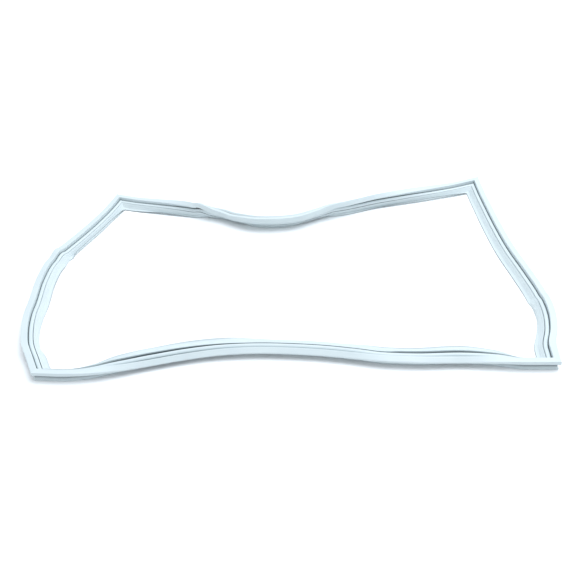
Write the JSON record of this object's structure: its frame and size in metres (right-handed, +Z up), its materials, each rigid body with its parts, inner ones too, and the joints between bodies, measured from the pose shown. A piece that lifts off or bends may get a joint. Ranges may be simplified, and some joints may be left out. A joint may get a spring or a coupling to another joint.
{
  "type": "refrigerator door gasket",
  "caption": "White magnetic door gasket, a welded loop of hollow PVC profile with a magnet strip in each side, lying loose and gently bent.",
  "frame": {"origin": "middle of the loop's outline at the level of the floor it lies on", "axes": "+X along the long front and back lengths, +Y from the front length to the back length, +Z up, towards the magnet side"},
  "size_m": [0.848, 0.5894, 0.0317],
  "materials": {
    "white_pvc": "satin",
    "magnet_strip": "matte"
  },
  "bodies": {
    "root": {"profile_front": "white_pvc", "profile_right": "white_pvc", "profile_back": "white_pvc", "profile_left": "white_pvc", "magnet_front": "magnet_strip", "magnet_right": "magnet_strip", "magnet_back": "magnet_strip", "magnet_left": "magnet_strip"}
  },
  "joints": []
}
